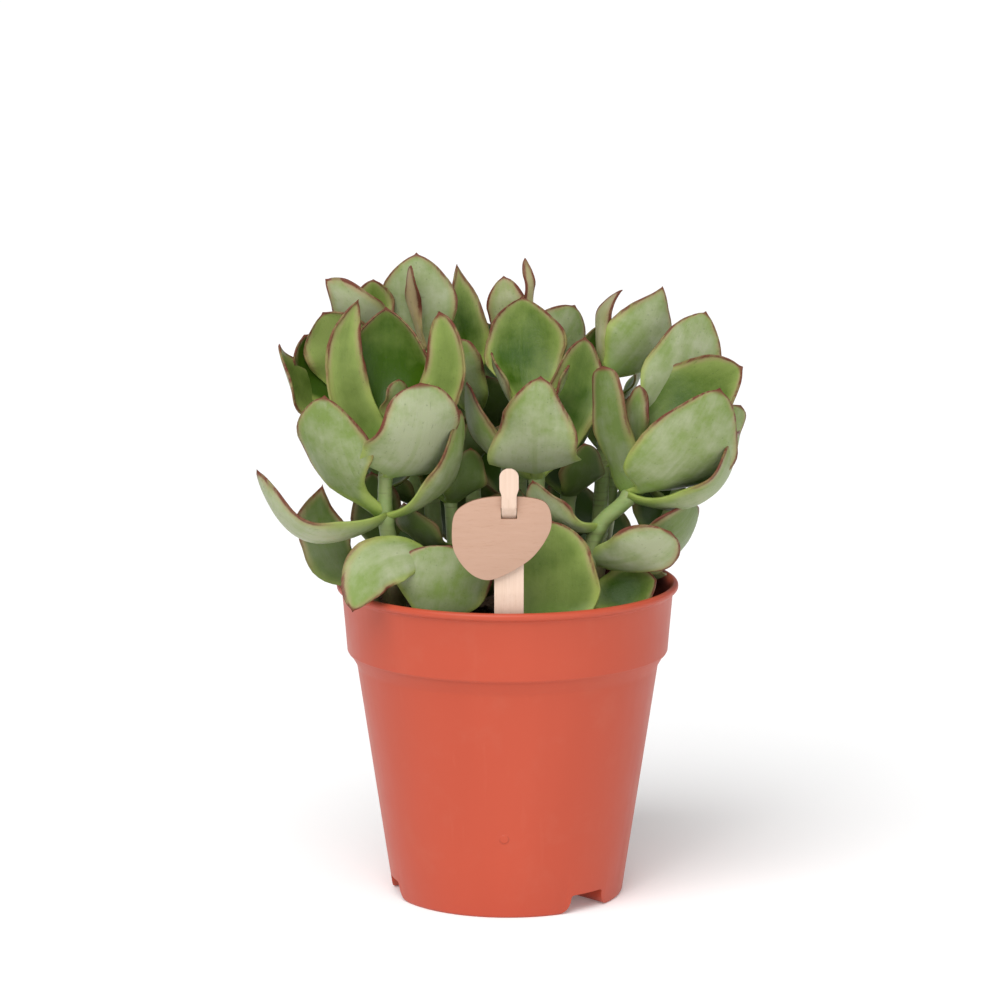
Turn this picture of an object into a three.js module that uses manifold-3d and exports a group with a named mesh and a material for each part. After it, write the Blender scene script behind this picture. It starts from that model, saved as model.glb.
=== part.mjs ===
// Potted silver jade plant: a plastic grower's pot with peat soil, a wooden label and
// leafy shoots. Millimetres, +Z up, the viewer looks along +Y.
// The origin is the centre of the pot's flat foot.
import * as THREE from 'three';
import { mergeVertices } from 'three/addons/utils/BufferGeometryUtils.js';
import Module from 'manifold-3d';

const wasm = await Module();
wasm.setup();

// Driving dimensions of the pot
const potHeight = 111.5;
const lipRadius = 60;
const lipHeight = 2.4;
const bandTopRadius = 58.2;
const bandFootRadius = 56.4;
const bandFootHeight = 87.4;
const stepHeight = 5.2;
const bodyTopRadius = 53;
const footRadius = 40.6;
const wall = 1.3;
const potSides = 36;
const soilSides = 26;
const drainCount = 3;
const drainFirstAzimuth = 42.5;
const drainWidth = 14.5;
const drainHeight = 6.5;
const drainRounding = 5;
const drainReach = 14;

// Soil, with a gap to whatever stands in it
const gap = 0.3;
const shortestEdge = 0.02;
const soilLevel = 101.5;
const soilCrown = 2;

// Wooden label
const stickWidth = 10;
const stickNeckWidth = 5.1;
const stickHeadWidth = 6.5;
const stickThickness = 1.4;
const tagWidth = 33.5;
const tagHeight = 28.5;
const tagThickness = 1.5;
const tagCentre = [-2.2, -57.6, 137.2];
const slotWidth = 5.8;
const slotHeight = 4.3;

// Shoots and leaves
const stemFootRadius = 3.3;
const stemTopRadius = 2.1;
const stemSides = 7;
const stemStep = 13;
const leafThickness = 1.2;
const thinnestHalf = 0.33;
const leafDefaults = {
  roll: 0, bow: 3, side: 0, cup: 25, skew: 0,
  peak: 0.58, tip: 0.65, neck: 0.3, stalk: 0, crisp: 0, wave: 1,
};
const leafStations = [0, 0.12, 0.3, 0.5, 0.7, 0.87, 0.985];
const coarseStations = [0, 0.2, 0.48, 0.78, 0.985];
const leafColumns = [-1, -0.62, 0, 0.62, 1];
const narrowColumns = [-1, 0, 1];
const narrowLeaf = 18;

const radians = THREE.MathUtils.degToRad;

function material(color, roughness, metalness = 0) {
  return new THREE.MeshStandardMaterial({ color, roughness, metalness });
}
const terracottaPlastic = material(0xc8593f, 0.45);
const peat = material(0x3b2a20, 0.95);
const limeWood = material(0xe6c3a4, 0.7);
const leafGreen = material(0x8fa673, 0.5);

// Closed skin over rings with the same number of points each
function loft(rings) {
  const count = rings[0].length;
  const positions = rings.flat().flatMap((p) => [p.x, p.y, p.z]);
  const index = [];
  for (let i = 0; i < rings.length - 1; i += 1) {
    for (let j = 0; j < count; j += 1) {
      const a = i * count + j;
      const b = i * count + (j + 1) % count;
      index.push(a, b, b + count, a, b + count, a + count);
    }
  }
  const last = (rings.length - 1) * count;
  for (let j = 1; j < count - 1; j += 1) {
    index.push(0, j + 1, j, last, last + j, last + j + 1);
  }
  const geometry = new THREE.BufferGeometry();
  geometry.setAttribute('position', new THREE.Float32BufferAttribute(positions, 3));
  geometry.setIndex(index);
  return geometry;
}

function solid(geometry) {
  const bare = geometry.clone();
  bare.deleteAttribute('normal');
  bare.deleteAttribute('uv');
  const merged = mergeVertices(bare, 1e-4);
  return new wasm.Manifold(new wasm.Mesh({
    numProp: 3,
    vertProperties: new Float32Array(merged.attributes.position.array),
    triVerts: new Uint32Array(merged.index.array),
  }));
}

function skin(manifold) {
  const mesh = manifold.getMesh();
  const geometry = new THREE.BufferGeometry();
  geometry.setAttribute('position', new THREE.BufferAttribute(mesh.vertProperties, 3));
  geometry.setIndex(new THREE.BufferAttribute(mesh.triVerts, 1));
  return geometry;
}

// Lower leaf pairs of a shoot, each pair a quarter turn from the one below; the draw is seeded
function seededDraw(seed) {
  let state = seed;
  return () => {
    state = (state * 16807) % 2147483647;
    return state / 2147483647;
  };
}

function leafPairs({ from, to, pairs, turn, long, wide, seed, front, fallen = [] }) {
  const draw = seededDraw(seed);
  const leaves = [];
  for (let k = 0; k < pairs; k += 1) {
    const share = pairs > 1 ? k / (pairs - 1) : 0;
    for (const half of [0, 180]) {
      const az = (turn + 90 * k + half + 24 * (draw() - 0.5) + 720) % 360;
      const leaf = {
        foot: from + (to - from) * share,
        az,
        rise: 26 + 42 * share + 14 * (draw() - 0.5),
        long: long * (1 - 0.25 * share) * (0.92 + 0.16 * draw()),
        wide: wide * (1 - 0.3 * share) * (0.92 + 0.16 * draw()),
        roll: 30 * (draw() - 0.5),
        bow: 3 + 3 * draw(),
        cup: 18 + 16 * draw(),
        coarse: true,
        dropped: fallen.includes(leaves.length),
      };
      if (front || (az > 75 && az < 285)) {
        leaves.push(leaf);
      }
    }
  }
  return leaves;
}

// Stems run through points; a leaf grows from its stem at the height `foot`, towards the compass
// direction `az` (0 to the viewer, 90 to the right), rising by `rise` degrees. Its inner face
// turns by `roll` about its length; `bow` and `side` bend its midrib out and sideways, in mm.
// `cup` folds it along the midrib, `skew` widens one half, `stalk` is where the blade sets in,
// and `crisp` how suddenly. Leaves named in `fallen` have dropped off the lower part.
const shoots = {
  left_front_shoot: {
    stem: [[-37, -21, 90], [-39, -25, 118], [-42, -27, 139], [-42, -27, 153], [-40, -21, 170]],
    leaves: [
      { foot: 138.5, az: -64, rise: 63, long: 50, wide: 31, roll: -30, bow: 5, side: -4.6, cup: 26,
        peak: 0.54, neck: 0.2, stalk: 0.33, wave: 1.6 },
      { foot: 153, az: 34, rise: 58, long: 42, wide: 33.5, roll: 10, bow: 8, side: 2, cup: 18,
        peak: 0.4, tip: 0.38, neck: 0.15, stalk: 0.1, crisp: 0.7, wave: 1.6 },
      { foot: 139, az: -81, rise: 22, long: 48, wide: 22, roll: -24, bow: 16.5, cup: 38,
        peak: 0.46 },
      { foot: 139, az: 84, rise: 56, long: 46, wide: 19, roll: 20, bow: 11, cup: 35 },
      { foot: 163.5, az: -174, rise: 76, long: 48, wide: 37, roll: 10, bow: 6, side: 0, cup: 75,
        peak: 0.5, tip: 0.75 },
      { foot: 161, az: 99, rise: 70, long: 52, wide: 17, roll: -53, bow: 4, side: -9.5, cup: 30,
        peak: 0.5, tip: 0.5 },
      { foot: 169, az: 45, rise: 78, long: 18, wide: 12, bow: 1 },
      { foot: 161, az: -106, rise: 79, long: 54, wide: 16, roll: 48, bow: 4, side: 9, cup: 30,
        peak: 0.42, tip: 0.7 },
    ],
  },
  left_back_shoot: {
    stem: [[-38, 2, 90], [-46, 2, 130], [-54, 0, 162], [-53, 3, 178], [-46, 9, 192]],
    leaves: [
      { foot: 166, az: -67, rise: 49, long: 41, wide: 23, roll: 39, bow: 6, peak: 0.45, tip: 1.1,
        wave: 1.5 },
      { foot: 173, az: -61, rise: 71, long: 36, wide: 29, roll: 138, bow: 2, side: -3, cup: 26,
        wave: 1.4 },
      { foot: 192, az: -68, rise: 54, long: 32, wide: 18, roll: -54, side: 3.5, cup: 30, peak: 0.46,
        tip: 0.8 },
      { foot: 189, az: 122, rise: 88, long: 28, wide: 16, roll: -58, bow: 2 },
      { foot: 122, az: -16, rise: 69, long: 32, wide: 18, roll: -21, bow: 7, cup: 25,
        coarse: true },
      { foot: 171, az: -97, rise: 58, long: 32, wide: 24, roll: 58, bow: 4, cup: 29,
        coarse: true },
    ],
    lower: { from: 120, to: 160, pairs: 3, turn: 20, long: 34, wide: 20, seed: 1, fallen: [0] },
  },
  back_left_shoot: {
    stem: [[-24, 18, 90], [-27, 20, 140], [-30, 19, 180], [-29, 12, 192]],
    leaves: [
      { foot: 184, az: -14, rise: 79, long: 43, wide: 27, roll: -9, bow: 4, cup: 32, tip: 0.75 },
      { foot: 192, az: -19, rise: 66, long: 34, wide: 7, roll: 35, bow: 1, side: -1.5 },
    ],
    lower: { from: 128, to: 176, pairs: 3, turn: 70, long: 34, wide: 20, seed: 1 },
  },
  inner_left_shoot: {
    stem: [[-10, 12, 90], [-12, 14, 140], [-11, 16, 180]],
    leaves: [
      { foot: 180, az: -146, rise: 73, long: 42, wide: 15.5, roll: 15, bow: 2, peak: 0.45,
        tip: 1.2 },
      { foot: 169, az: -27, rise: 64, long: 31, wide: 14.5, roll: -15, tip: 0.3 },
    ],
    lower: { from: 116, to: 150, pairs: 2, turn: 90, long: 26, wide: 15, seed: 81, front: true },
  },
  centre_shoot: {
    stem: [[11, -14, 90], [11, -15, 125], [10, -15, 150], [8, -7, 168], [7, 0, 176]],
    leaves: [
      { foot: 150, az: 3, rise: 60, long: 46, wide: 31, roll: 6, bow: 7, side: -0.8, cup: 14,
        peak: 0.25, tip: 0.55, neck: 0.14, stalk: 0.17, crisp: 0.8, wave: 2 },
      { foot: 150, az: -92, rise: 55, long: 42, wide: 18, roll: -28, bow: 8, cup: 30 },
      { foot: 171, az: -171, rise: 67, long: 43, wide: 29, roll: 9, cup: 34, tip: 0.8, wave: 1.6 },
      { foot: 168, az: -70, rise: 61, long: 30, wide: 9, roll: 11, bow: 2 },
      { foot: 168, az: 70, rise: 57, long: 26, wide: 9, roll: -12, bow: 2 },
      { foot: 152, az: 137, rise: 61, long: 52, wide: 20, roll: -56, side: -4 },
    ],
  },
  centre_back_shoot: {
    stem: [[4, 24, 90], [4, 22, 140], [5, 21, 180], [6, 22, 190]],
    leaves: [
      { foot: 180, az: -99, rise: 80, long: 37, wide: 16.5, roll: -79 },
      { foot: 190, az: 3, rise: 88, long: 33, wide: 5.4, roll: -30, side: 0.2, peak: 0.4 },
      { foot: 172, az: 100, rise: 60, long: 39, wide: 26, roll: 72, bow: 2 },
    ],
    lower: { from: 118, to: 176, pairs: 3, turn: 70, long: 28, wide: 19, seed: 1, front: true },
  },
  right_front_shoot: {
    stem: [
      [27, -20, 90], [28, -23, 122], [32, -26, 136], [42, -28, 147], [45, -20, 160], [45, -8, 172],
    ],
    leaves: [
      { foot: 147, az: 59, rise: 49, long: 53, wide: 39.5, roll: 32, bow: 8, cup: 22, skew: 0.12,
        peak: 0.5, neck: 0.15, stalk: 0.14, crisp: 0.3, wave: 1.5 },
      { foot: 146, az: 99, rise: 30, long: 45, wide: 32, roll: 24, bow: 14, peak: 0.68, tip: 0.5 },
      { foot: 160, az: 91, rise: 40, long: 47, wide: 32, roll: -62, bow: 4, side: 3, cup: 28,
        peak: 0.46, tip: 0.7, wave: 1.4 },
      { foot: 167, az: 121, rise: 55, long: 48.5, wide: 31, roll: 93, side: 0.5, cup: 22,
        skew: 0.25, peak: 0.55, tip: 0.8, wave: 1.3 },
      { foot: 147, az: -80, rise: 78, long: 46, wide: 15, roll: -43, cup: 30, peak: 0.55, tip: 0.25 },
      { foot: 161, az: 27, rise: 88, long: 23, wide: 9, roll: 57, bow: 2 },
      { foot: 135, az: -63, rise: 36, long: 32, wide: 16, roll: -23, bow: 6, side: -2 },
      { foot: 124, az: 57, rise: 21, long: 35, wide: 22, roll: 50, bow: 3, side: 3, peak: 0.62,
        tip: 0.5 },
      { foot: 124, az: 104, rise: 22, long: 42.5, wide: 33, roll: 45, bow: 10, peak: 0.66,
        tip: 0.48, neck: 0.15, stalk: 0.3 },
      { foot: 108, az: 84, rise: 19, long: 26, wide: 18, roll: -63, bow: 2 },
    ],
  },
  right_back_shoot: {
    stem: [[30, 12, 90], [33, 11, 140], [35, 7, 184]],
    leaves: [
      { foot: 184, az: 102, rise: 57, long: 36, wide: 24, roll: 86, side: 2.4, cup: 34, peak: 0.45,
        tip: 1.1 },
      { foot: 184, az: 80, rise: 80, long: 30, wide: 12.5, roll: 150, side: -7, peak: 0.42,
        tip: 1.1 },
    ],
    lower: { from: 126, to: 174, pairs: 3, turn: 20, long: 34, wide: 20, seed: 1 },
  },
  right_side_shoot: {
    stem: [[44, 6, 90], [52, 8, 120], [62, 6, 148]],
    leaves: [
      { foot: 146, az: 84, rise: 53, long: 34, wide: 17, roll: 50, tip: 0.4 },
      { foot: 123, az: -171, rise: 70, long: 31, wide: 21, roll: 33, bow: 5, cup: 31,
        coarse: true },
    ],
    lower: { from: 112, to: 136, pairs: 2, turn: -5, long: 28, wide: 17, seed: 4, front: true },
  },
  low_left_shoot: {
    stem: [[-25, -36, 90], [-26, -36, 108], [-26, -34, 128]],
    leaves: [
      { foot: 124.8, az: -57, rise: -24, long: 35, wide: 18.5, roll: -123, side: 8, skew: 0.12,
        peak: 0.5 },
      { foot: 104, az: 73, rise: 77, long: 28, wide: 34, roll: 73, bow: 2, cup: 15 },
    ],
  },
  low_right_shoot: {
    stem: [[14, -40, 90], [14, -41, 108]],
    leaves: [
      { foot: 104, az: 163, rise: 86, long: 36, wide: 32, roll: -17, bow: 2, side: -1, cup: 20,
        peak: 0.38, tip: 0.6 },
    ],
  },
  low_edge_shoot: {
    stem: [[-46, -13, 90], [-47, -13, 113]],
    leaves: [
      { foot: 111.5, az: -60, rise: 63, long: 43, wide: 19, roll: -50, side: -7, cup: 22,
        skew: -0.15, peak: 0.52, tip: 1.1, wave: 1.8 },
    ],
  },
  middle_left_shoot: {
    stem: [[-17, -12, 90], [-18, -12, 118], [-20, -8, 142]],
    leaves: [],
    lower: {
      from: 107, to: 141, pairs: 3, turn: 45, long: 32, wide: 22, seed: 19, front: true, fallen: [1],
    },
  },
  middle_right_shoot: {
    stem: [[19, 0, 90], [20, 0, 118], [22, 4, 150], [23, 6, 158]],
    leaves: [],
    lower: {
      from: 112, to: 156, pairs: 4, turn: 15, long: 30, wide: 21, seed: 39, front: true, fallen: [0, 1, 2],
    },
  },
  rear_left_shoot: {
    stem: [[-24, 34, 90], [-31, 38, 122], [-34, 40, 152], [-35, 40, 168]],
    leaves: [],
    lower: {
      from: 114, to: 166, pairs: 4, turn: 50, long: 36, wide: 25, seed: 11, front: true, fallen: [0, 5],
    },
  },
  rear_shoot: {
    stem: [[3, 41, 90], [2, 46, 120], [0, 47, 148], [-1, 46, 172]],
    leaves: [
      { foot: 128, az: -150, rise: 49, long: 38, wide: 18, roll: 59, bow: 7, cup: 28,
        coarse: true },
    ],
    lower: {
      from: 112, to: 170, pairs: 5, turn: 60, long: 37, wide: 26, seed: 19, front: true, fallen: [0, 4, 5],
    },
  },
  rear_right_shoot: {
    stem: [[28, 34, 90], [35, 38, 122], [38, 40, 152], [38, 40, 168]],
    leaves: [],
    lower: {
      from: 114, to: 166, pairs: 4, turn: 10, long: 35, wide: 25, seed: 3, front: true, fallen: [0, 3],
    },
  },
};

function stemCurve(points) {
  const knots = points.map((p) => new THREE.Vector3(...p));
  return new THREE.CatmullRomCurve3(knots, false, 'centripetal');
}

function stemPoint(curve, height) {
  let low = 0;
  let high = 1;
  for (let i = 0; i < 30; i += 1) {
    const middle = (low + high) / 2;
    if (curve.getPoint(middle).z < height) {
      low = middle;
    } else {
      high = middle;
    }
  }
  return curve.getPoint(low);
}

function stemSolid(curve) {
  const steps = Math.max(3, Math.round(curve.getLength() / stemStep));
  const rings = [];
  for (let i = 0; i <= steps; i += 1) {
    const centre = curve.getPoint(i / steps);
    const along = curve.getTangent(i / steps);
    const across = new THREE.Vector3(0, 1, 0).cross(along).normalize();
    const other = along.clone().cross(across);
    const radius = THREE.MathUtils.lerp(stemFootRadius, stemTopRadius, i / steps);
    rings.push(Array.from({ length: stemSides }, (_, j) => {
      const turn = (2 * Math.PI * j) / stemSides;
      return centre.clone()
        .addScaledVector(across, radius * Math.cos(turn))
        .addScaledVector(other, radius * Math.sin(turn));
    }));
  }
  return solid(loft(rings));
}

// Half of the leaf's width at a share t of its length: a bell with its peak at `peak`,
// that sets in over a longer or shorter run round `stalk`, a petiole and a small pointed tip
function leafHalfWidth(leaf, t) {
  const s = Math.min(t / 0.985, 1);
  const root = (leaf.tip * leaf.peak) / (1 - leaf.peak);
  const bell = (s / leaf.peak) ** root * ((1 - s) / (1 - leaf.peak)) ** leaf.tip;
  const onset = 0.7 - 0.6 * leaf.crisp;
  const blade = leaf.stalk
    ? THREE.MathUtils.smoothstep(t, (1 - onset) * leaf.stalk, (1 + onset) * leaf.stalk)
    : 1;
  const petiole = leaf.neck * (1 - t) ** 2;
  const point = 0.05 * Math.min(1, (1 - t) / 0.05);
  return (leaf.wide / 2) * Math.hypot(blade * bell, petiole, point);
}

function leafSolid(row, foot, order) {
  const leaf = { ...leafDefaults, phase: 2.4 * order, ...row };
  const az = radians(leaf.az);
  const rise = radians(leaf.rise);
  const along = new THREE.Vector3(
    Math.sin(az) * Math.cos(rise), -Math.cos(az) * Math.cos(rise), Math.sin(rise),
  );
  const inner = new THREE.Vector3(
    -Math.sin(az) * Math.sin(rise), Math.cos(az) * Math.sin(rise), Math.cos(rise),
  ).applyAxisAngle(along, -radians(leaf.roll));
  const across = inner.clone().cross(along);
  const columns = leaf.wide > narrowLeaf && !leaf.coarse ? leafColumns : narrowColumns;
  const stations = leaf.coarse ? coarseStations : leafStations;

  const rings = stations.map((t) => {
    const bend = 4 * t * (1 - t);
    const slope = 4 * (1 - 2 * t);
    const middle = foot.clone()
      .addScaledVector(along, leaf.long * t)
      .addScaledVector(inner, -leaf.bow * bend)
      .addScaledVector(across, leaf.side * bend);
    const tangent = along.clone().multiplyScalar(leaf.long)
      .addScaledVector(inner, -leaf.bow * slope)
      .addScaledVector(across, leaf.side * slope)
      .normalize();
    const up = inner.clone().addScaledVector(tangent, -inner.dot(tangent)).normalize();
    const out = up.clone().cross(tangent);
    const width = leafHalfWidth(leaf, t);
    const fold = radians(leaf.cup) * (1 - 0.35 * t);
    const swell = Math.sin(Math.PI * t) ** 0.6;

    const point = (v, face) => {
      const lean = fold * v;
      const phase = leaf.phase + (v > 0 ? 0 : 2.2);
      const ripple = leaf.wave * swell;
      const half = leafThickness * (1.25 - 0.75 * t)
        * (0.25 + 0.5 * Math.sqrt(1 - v * v)) * (1 - 0.6 * t ** 6);
      const thick = face * Math.max(thinnestHalf, half);
      const aside = ((width * Math.sin(lean)) / fold) * (1 + leaf.skew * v)
        - thick * Math.sin(lean)
        + 0.5 * ripple * v * Math.sin(2.1 * 2 * Math.PI * t + 1.7 * phase);
      const lift = (width * (1 - Math.cos(lean))) / fold + thick * Math.cos(lean)
        + ripple * Math.abs(v) ** 1.8 * Math.sin(1.6 * 2 * Math.PI * t + phase);
      return middle.clone().addScaledVector(out, aside).addScaledVector(up, lift);
    };
    return [...columns.map((v) => point(-v, 1)), ...columns.map((v) => point(v, -1))];
  });
  return solid(bladeLoft(rings));
}

// As loft, but the lower face is split along the same diagonals as the upper one
function bladeLoft(rings) {
  const count = rings[0].length;
  const half = count / 2;
  const geometry = loft(rings);
  const index = Array.from(geometry.index.array);
  for (let i = 0; i < rings.length - 1; i += 1) {
    for (let j = half; j < count - 1; j += 1) {
      const start = 6 * (i * count + j);
      const a = i * count + j;
      const b = a + 1;
      index.splice(start, 6, a, b, a + count, b, b + count, a + count);
    }
  }
  geometry.setIndex(index);
  return geometry;
}

function shootSolid({ stem, leaves, lower }) {
  const curve = stemCurve(stem);
  const parts = [stemSolid(curve)];
  const rows = [...leaves, ...(lower ? leafPairs(lower) : [])];
  rows.forEach((row, order) => {
    if (!row.dropped) {
      parts.push(leafSolid(row, stemPoint(curve, row.foot), order));
    }
  });
  return wasm.Manifold.union(parts).simplify(shortestEdge);
}

const plant = new THREE.Group();

function add(name, geometry, look) {
  const mesh = new THREE.Mesh(geometry, look);
  mesh.name = name;
  plant.add(mesh);
  return mesh;
}

function lathe(profile, sides) {
  const geometry = new THREE.LatheGeometry(profile.map(([r, z]) => new THREE.Vector2(r, z)), sides);
  return geometry.rotateX(Math.PI / 2);
}

// Pot: a tapered body, a band under the rolled lip and a flat foot that three drain channels
// cross from the side inwards. The plastic has the same thickness over body, foot and channels.
function bodyRadius(height) {
  const share = height / (bandFootHeight - stepHeight);
  return footRadius + (bodyTopRadius - footRadius) * share;
}

function potSolid() {
  const stepFoot = bandFootHeight - stepHeight;
  const lipFoot = potHeight - lipHeight;
  const outside = solid(lathe([
    [0, 0],
    [footRadius - 0.5, 0],
    [bodyRadius(1), 1],
    [bodyRadius(stepFoot), stepFoot],
    [bandFootRadius - 1, bandFootHeight - 0.7],
    [bandFootRadius - 0.1, bandFootHeight - 0.3],
    [bandFootRadius, bandFootHeight + 0.6],
    [bandTopRadius, lipFoot],
    [lipRadius, lipFoot + 0.8],
    [lipRadius, potHeight - 0.6],
    [lipRadius - 0.6, potHeight],
    [0, potHeight],
  ], potSides));
  const hollow = solid(lathe([
    [0, wall],
    [bodyRadius(wall) - wall, wall],
    [bodyTopRadius - wall, stepFoot],
    [bandFootRadius - wall, bandFootHeight + 1.5],
    [bandTopRadius - wall, lipFoot],
    [bandTopRadius - wall + 0.9, potHeight],
    [bandTopRadius - wall + 0.9, potHeight + 1],
    [0, potHeight + 1],
  ], potSides));
  const inside = wasm.Manifold.difference([hollow, ...drainChannels(wall)]);
  return wasm.Manifold.difference([outside, inside, ...drainChannels(0)]);
}

// The channels, widened by a margin all round; their lower corners round out to the ground
function drainChannels(margin) {
  const half = drainWidth / 2 + margin;
  const top = drainHeight + margin;
  const roundCentre = drainWidth / 2 + drainRounding;
  const radius = drainRounding - margin;
  const side = [[half - 0.8, top], [half, top - 0.8]];
  for (let k = 0; k <= 4; k += 1) {
    const turn = radians(180 + 22.5 * k);
    side.push([roundCentre + radius * Math.cos(turn), drainRounding + radius * Math.sin(turn)]);
  }
  side.push([roundCentre, -1]);
  const mirrored = side.map(([x, z]) => [-x, z]).reverse();
  const section = new THREE.Shape([...side, ...mirrored].map(([x, z]) => new THREE.Vector2(x, z)));
  const depth = footRadius + 5 - drainReach;
  return Array.from({ length: drainCount }, (_, i) => {
    const channel = new THREE.ExtrudeGeometry(section, { depth, bevelEnabled: false })
      .rotateX(Math.PI / 2)
      .translate(0, margin - drainReach, 0)
      .rotateZ(radians(drainFirstAzimuth + (i * 360) / drainCount));
    return solid(channel);
  });
}

// Soil fills the pot up to a low crown and stands clear of wall, channels, stems and label
function soilSolid() {
  const floor = wall + gap;
  const rim = wall + 1.5 * gap;
  const filling = solid(lathe([
    [0, floor],
    [bodyRadius(floor) - rim, floor],
    [bodyTopRadius - rim, bandFootHeight - stepHeight],
    [bandFootRadius - rim, bandFootHeight + 1.5 + gap],
    [bandFootRadius + 1 - rim, soilLevel - 1.2],
    [bandFootRadius - 3, soilLevel],
    [30, soilLevel + 0.7 * soilCrown],
    [0, soilLevel + soilCrown],
  ], soilSides));
  const cuts = [...drainChannels(wall + gap), ...stemHoles(), stickHole()];
  return wasm.Manifold.difference([filling, ...cuts]);
}

function stemHoles() {
  return Object.values(shoots).map(({ stem }) => {
    const curve = stemCurve(stem);
    const foot = curve.getPoint(0);
    const along = curve.getTangent(0);
    const length = 34;
    const holeRadius = stemFootRadius + 2 * gap;
    const upright = new THREE.Vector3(0, 1, 0);
    const lean = new THREE.Quaternion().setFromUnitVectors(upright, along);
    const hole = new THREE.CylinderGeometry(holeRadius, holeRadius, length, 8)
      .translate(0, length / 2 - gap, 0)
      .applyQuaternion(lean)
      .translate(foot.x, foot.y, foot.z);
    return solid(hole);
  });
}

// Label: a flat stick whose narrow neck goes forward through the slot of the tag that it carries
const stickFoot = 76;
const stickTop = 161.5;
const stickLean = radians(9);
const stickBend = 118;
const stickX = 0.4;
const stickY = -55.6;
const neckFoot = 140.5;
const neckTop = 147.4;

function stickDepth(height) {
  return stickY + Math.tan(stickLean) * Math.max(0, stickBend - height);
}

function stickRing(height, width, forward) {
  const y = stickDepth(height) - forward;
  const half = width / 2;
  const thick = stickThickness / 2;
  return [[-half, -thick], [half, -thick], [half, thick], [-half, thick]].map(([dx, dy]) => (
    new THREE.Vector3(stickX + dx, y + dy, height)));
}

function stickSolid() {
  return solid(loft([
    stickRing(stickFoot, 3, 0),
    stickRing(stickFoot + 5, stickWidth, 0),
    stickRing(stickBend, stickWidth, 0),
    stickRing(neckFoot - 1, stickWidth, 0),
    stickRing(neckFoot + 1.2, stickNeckWidth, 0),
    stickRing(neckFoot + 3, stickNeckWidth, 0),
    stickRing(neckTop + 0.6, stickNeckWidth, 3.8),
    stickRing(neckTop + 4.6, stickNeckWidth, 4.2),
    stickRing(neckTop + 7.4, stickHeadWidth, 4.2),
    stickRing(stickTop - 3, stickHeadWidth, 4.2),
    stickRing(stickTop - 0.9, stickHeadWidth - 1.8, 4.2),
    stickRing(stickTop, stickHeadWidth - 4.4, 4.2),
  ]));
}

// The stick's hole is a groove in the soil's side
function stickHole() {
  const width = stickWidth + 2 * gap;
  const groove = 5;
  const depth = stickThickness + 2 * gap + groove;
  const reach = 60;
  const middle = stickFoot - 2 * gap + reach / 2;
  const hole = new THREE.BoxGeometry(width, depth, reach)
    .translate(0, -groove / 2, 0)
    .rotateX(stickLean)
    .translate(stickX, stickDepth(middle), middle);
  return solid(hole);
}

// Tag: a rounded heart-like blank with a slot, hung on the stick
const tagOutline = [
  [-0.13, 0.5], [-0.36, 0.42], [-0.47, 0.3], [-0.5, 0.05], [-0.48, -0.14], [-0.38, -0.34],
  [-0.26, -0.46], [-0.14, -0.5], [-0.03, -0.47], [0.14, -0.37], [0.3, -0.24], [0.43, -0.05],
  [0.5, 0.13], [0.5, 0.3], [0.45, 0.43], [0.32, 0.49],
];

function tagSolid() {
  const points = tagOutline.map(([x, z]) => new THREE.Vector3(x * tagWidth, z * tagHeight, 0));
  const rim = new THREE.CatmullRomCurve3(points, true, 'centripetal').getPoints(32).slice(0, -1);
  const blank = new THREE.Shape(rim.map((p) => new THREE.Vector2(p.x, p.y)));
  const slot = new THREE.Path();
  const slotX = stickX - tagCentre[0];
  const slotZ = neckTop - 1.5 - tagCentre[2];
  slot.moveTo(slotX - slotWidth / 2, slotZ - slotHeight / 2);
  slot.lineTo(slotX - slotWidth / 2, slotZ + slotHeight / 2);
  slot.lineTo(slotX + slotWidth / 2, slotZ + slotHeight / 2);
  slot.lineTo(slotX + slotWidth / 2, slotZ - slotHeight / 2);
  slot.closePath();
  blank.holes.push(slot);
  return new THREE.ExtrudeGeometry(blank, { depth: tagThickness, bevelEnabled: false })
    .translate(0, 0, -tagThickness / 2)
    .rotateX(Math.PI / 2)
    .translate(...tagCentre);
}

add('pot', skin(potSolid()), terracottaPlastic);
add('soil', skin(soilSolid()), peat);
add('label_stick', skin(stickSolid()), limeWood);
add('label_tag', skin(solid(tagSolid())), limeWood);
for (const [name, shoot] of Object.entries(shoots)) {
  add(name, skin(shootSolid(shoot)), leafGreen);
}

export default plant;
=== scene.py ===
import math
import random
import bmesh
import bpy
from mathutils import Matrix, Quaternion, Vector, noise


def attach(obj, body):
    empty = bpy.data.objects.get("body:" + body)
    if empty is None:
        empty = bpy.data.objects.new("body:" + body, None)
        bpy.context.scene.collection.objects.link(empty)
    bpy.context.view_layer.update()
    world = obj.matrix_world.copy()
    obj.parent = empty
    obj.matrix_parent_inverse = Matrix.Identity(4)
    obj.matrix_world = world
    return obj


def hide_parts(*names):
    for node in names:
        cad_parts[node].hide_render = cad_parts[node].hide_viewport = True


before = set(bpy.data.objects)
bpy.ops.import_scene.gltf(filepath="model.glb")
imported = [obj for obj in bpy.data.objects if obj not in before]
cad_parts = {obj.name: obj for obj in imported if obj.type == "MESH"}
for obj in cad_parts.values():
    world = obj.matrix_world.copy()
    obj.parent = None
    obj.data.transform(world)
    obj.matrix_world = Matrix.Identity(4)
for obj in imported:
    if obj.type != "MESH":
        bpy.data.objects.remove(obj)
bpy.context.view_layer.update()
mm = 0.001
print("frame loaded")


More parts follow.
